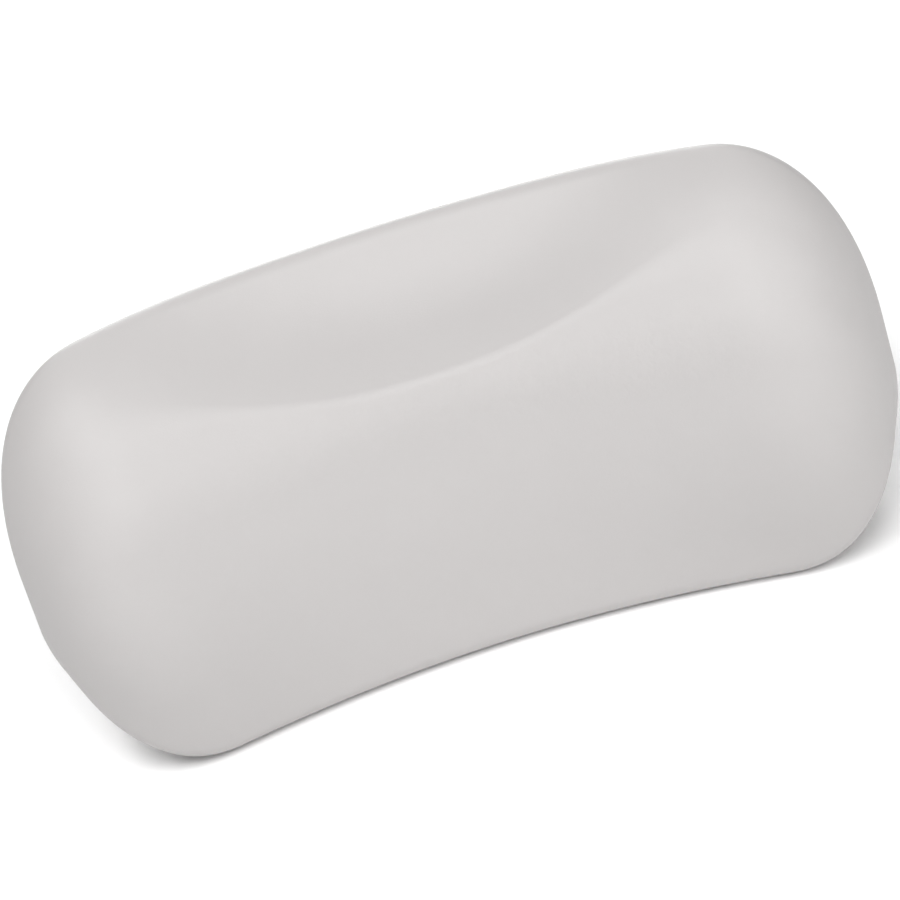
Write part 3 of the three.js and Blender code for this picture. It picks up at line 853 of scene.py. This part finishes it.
class PILLOW_OT_cups(bpy.types.Operator):
    """Adds the suction cups with their release tabs"""

    bl_idname = "pillow.cups"
    bl_label = "Add suction cups"

    def profile(self, form, cup):
        """Bell and boss, from the middle of the hollow round to the socket for the stud's flange."""
        shares = np.linspace(0, 1, BELL_STEPS + 1)
        hollow_top = SEALING_PLANE - cup.hollow_depth
        inside = [(cup.hollow_radius * t, hollow_top + cup.hollow_depth * t**2) for t in shares]
        rise = cup.hollow_depth + cup.bell_wall - cup.bell_lip
        outside = []
        for t in shares:
            radius = cup.bell_radius - (cup.bell_radius - cup.boss_radius) * t
            drop = rise * (1 - (radius / cup.bell_radius) ** 2)
            outside.append((radius, SEALING_PLANE - cup.bell_lip - drop))
        boss_end = PLATE_BACK + form.seat_gap + cup.collar_thickness + cup.run_gap
        bore = cup.spigot_radius + cup.run_gap
        grip = cup.flange_radius + cup.run_gap
        grip_foot = STUD_TOP - cup.flange_thickness - cup.run_gap
        grip_top = STUD_TOP + cup.run_gap
        socket = [
            (cup.boss_radius, boss_end),
            (bore, boss_end),
            (bore, grip_foot),
            (grip, grip_foot),
            (grip, grip_top),
            (0, grip_top),
        ]
        rim_edge = 0.4 * cup.bell_lip
        rim = eased([inside[-1], (cup.bell_radius, SEALING_PLANE), outside[0]], rim_edge)
        boss = eased([outside[-1], *socket], cup.edge)
        return [np.array(point) for point in (*inside[:-1], *rim[:-1], *outside[:-1], *boss)]

    def tab(self, cup):
        """Release tab below the bell, with rounded corners and eased edges."""
        root = (cup.hollow_radius + cup.bell_radius) / 2
        tip = cup.bell_radius + cup.tab_reach
        size = (cup.tab_width, cup.tab_thickness, tip - root)
        middle = (0, SEALING_PLANE - cup.tab_thickness / 2, -(root + tip) / 2)
        corner_radius = 0.32 * cup.tab_width
        edge_radius = 0.3 * cup.tab_thickness
        bpy.ops.object.select_all(action="DESELECT")
        bpy.ops.mesh.primitive_cube_add(size=1)
        tab = bpy.context.object
        edit(tab, "EDGE")
        bpy.ops.transform.resize(value=size, center_override=(0, 0, 0))
        bpy.ops.transform.translate(value=middle)
        bpy.ops.mesh.select_all(action="DESELECT")
        done()
        for edge in tab.data.edges:
            ends = [tab.data.vertices[k].co for k in edge.vertices]
            along_y = abs(ends[0].y - ends[1].y) > cup.tab_thickness / 2
            edge.select = along_y and ends[0].z < middle[2]
        bpy.ops.object.mode_set(mode="EDIT")
        bpy.ops.mesh.bevel(offset=corner_radius, segments=8, affect="EDGES")
        done()
        apply(tab, "BEVEL", width=edge_radius, segments=3, limit_method="ANGLE")
        return tab

    def execute(self, context):
        form = context.scene.pillow_form
        cup = context.scene.pillow_cups
        bell = spun("suction_bell", self.profile(form, cup), cup.steps)
        tab = self.tab(cup)
        apply(bell, "BOOLEAN", operation="UNION", solver="MANIFOLD", object=tab)
        bpy.data.objects.remove(tab)
        material = vinyl_finish(context.scene.pillow_finishes.cup)
        for piece, side in zip(pair_of(bell, "suction_bell"), SIDES):
            smooth(piece, MOULDED_SMOOTH)
            dress(piece, material)
            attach(piece, f"{side}_cup")
            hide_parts(f"suction_cup_{side}")
        return {"FINISHED"}


class PILLOW_OT_foam(bpy.types.Operator):
    """Adds the foam core, moulded round the insert and its caps"""

    bl_idname = "pillow.foam"
    bl_label = "Add foam"

    def cutter(self, node, gap):
        """Copy of a solid, grown by a gap, and with none of the frame's marks on it."""
        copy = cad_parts[node].copy()
        copy.data = copy.data.copy()
        copy.parent = None
        for key in list(copy.keys()):
            del copy[key]
        bpy.context.scene.collection.objects.link(copy)
        edit(copy)
        bpy.ops.mesh.remove_doubles(threshold=MERGE_DISTANCE)
        bpy.ops.transform.shrink_fatten(value=gap, use_even_offset=True)
        done()
        return copy

    def execute(self, context):
        form = context.scene.pillow_form
        points, faces = pillow_surface(form, form.sections // 2, FOAM_ARCS, FOAM_RUNS)
        foam = mesh_piece("foam_body", points, faces)
        edit(foam, "EDGE")
        bpy.ops.transform.shrink_fatten(value=-(form.skin + form.seat_gap))
        bpy.ops.mesh.select_all(action="DESELECT")
        bpy.ops.mesh.select_non_manifold()
        depth_in_plate = 1.5 * MM
        into_plate = (0, -(form.seat_gap + depth_in_plate), 0)
        bpy.ops.mesh.extrude_edges_move(TRANSFORM_OT_translate={"value": into_plate})
        bpy.ops.mesh.edge_face_add()
        done()
        turn_outwards(foam)
        for node in INSERT_NODES:
            cutter = self.cutter(node, form.seat_gap)
            apply(foam, "BOOLEAN", operation="DIFFERENCE", solver="MANIFOLD", object=cutter)
            bpy.data.objects.remove(cutter)
        foam = largest_island(foam)
        smooth(foam, MOULDED_SMOOTH)
        dress(foam, foam_finish(context.scene.pillow_finishes.foam))
        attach(foam, "pillow")
        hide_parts("foam_core")
        return {"FINISHED"}


class PILLOW_OT_insert(bpy.types.Operator):
    """Gives the insert plate and its caps their moulded finish"""

    bl_idname = "pillow.insert"
    bl_label = "Finish insert"

    def execute(self, context):
        base = context.scene.pillow_finishes.insert
        material = plastic_finish("moulded_insert", base, roughness=0.48, grain_scale=1500, strength=0.15)
        for node in INSERT_NODES:
            dress(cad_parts[node], material)
        return {"FINISHED"}


class PILLOW_OT_stage(bpy.types.Operator):
    """Adds the floor, the lights and the camera"""

    bl_idname = "pillow.stage"
    bl_label = "Add stage"

    def light(self, stage, name, azimuth, elevation, part):
        """Soft square light that is turned to the middle of the pillow."""
        around = math.radians(azimuth)
        up = math.radians(elevation)
        way = Vector((math.sin(around) * math.cos(up), -math.cos(around) * math.cos(up), math.sin(up)))
        middle = Vector((0, 0, stage.target_height))
        bpy.ops.object.light_add(type="AREA", location=middle + way * stage.light_distance)
        lamp = bpy.context.object
        lamp.name = name
        lamp.data.size = stage.light_size
        lamp.data.energy = stage.power * part
        lamp.visible_camera = False
        lamp.rotation_euler = way.to_track_quat("Z", "Y").to_euler()

    def camera(self, stage):
        """Camera at the photograph's angle, rolled about its axis."""
        back = Vector((0, -math.cos(stage.elevation), math.sin(stage.elevation)))
        right = Vector((1, 0, 0))
        up = back.cross(right)
        turned_right = right * math.cos(stage.roll) - up * math.sin(stage.roll)
        turned_up = up * math.cos(stage.roll) + right * math.sin(stage.roll)
        place = Matrix((turned_right, turned_up, back)).transposed().to_4x4()
        place.translation = Vector((0, stage.target_depth, stage.target_height)) + back * stage.distance
        bpy.ops.object.camera_add()
        camera = bpy.context.object
        camera.matrix_world = place
        camera.data.lens = stage.lens / MM
        camera.data.shift_x = stage.shift_x
        camera.data.shift_y = stage.shift_y
        bpy.context.scene.camera = camera

    def execute(self, context):
        stage = context.scene.pillow_stage
        bpy.ops.object.select_all(action="DESELECT")
        bpy.ops.mesh.primitive_plane_add(size=stage.floor_size, location=(0, 0, -stage.floor_gap))
        floor = context.object
        floor.name = "studio_floor"
        dress(floor, floor_finish(context.scene.pillow_finishes.floor))
        world = bpy.data.worlds.new("soft_sky")
        world.use_nodes = True
        background = world.node_tree.nodes["Background"]
        background.inputs["Strength"].default_value = stage.sky
        background.inputs["Color"].default_value = (1, 1, 1, 1)
        context.scene.world = world
        for name, (azimuth, elevation, part) in LIGHTS.items():
            self.light(stage, name, azimuth, elevation, part)
        self.camera(stage)
        context.scene.view_settings.view_transform = "Standard"
        return {"FINISHED"}


class PILLOW_PT_sidebar(bpy.types.Panel):
    """Lists the pillow's pieces and sizes"""

    bl_label = "Bath Pillow"
    bl_idname = "PILLOW_PT_sidebar"
    bl_space_type = "VIEW_3D"
    bl_region_type = "UI"
    bl_category = "Bath Pillow"

    def draw(self, context):
        layout = self.layout
        for operator in OPERATORS:
            layout.operator(operator.bl_idname)
        for name in GROUPS:
            group = getattr(context.scene, name)
            box = layout.box()
            for key in group.bl_rna.properties.keys():
                if key not in ("rna_type", "name"):
                    box.prop(group, key)


OPERATORS = (
    PILLOW_OT_skin,
    PILLOW_OT_foam,
    PILLOW_OT_insert,
    PILLOW_OT_studs,
    PILLOW_OT_cups,
    PILLOW_OT_stage,
)
GROUPS = {
    "pillow_form": PillowForm,
    "pillow_cups": CupSizes,
    "pillow_finishes": Finishes,
    "pillow_stage": StageSettings,
}


def register():
    for cls in (*GROUPS.values(), *OPERATORS, PILLOW_PT_sidebar):
        bpy.utils.register_class(cls)
    for name, group in GROUPS.items():
        setattr(bpy.types.Scene, name, PointerProperty(type=group))


def unregister():
    for name in GROUPS:
        delattr(bpy.types.Scene, name)
    for cls in (PILLOW_PT_sidebar, *reversed(OPERATORS), *reversed(GROUPS.values())):
        bpy.utils.unregister_class(cls)


def main():
    """Builds every piece and the stage."""
    register()
    bpy.ops.pillow.skin()
    bpy.ops.pillow.foam()
    bpy.ops.pillow.insert()
    bpy.ops.pillow.studs()
    bpy.ops.pillow.cups()
    bpy.ops.pillow.stage()


if __name__ == "__main__":
    main()
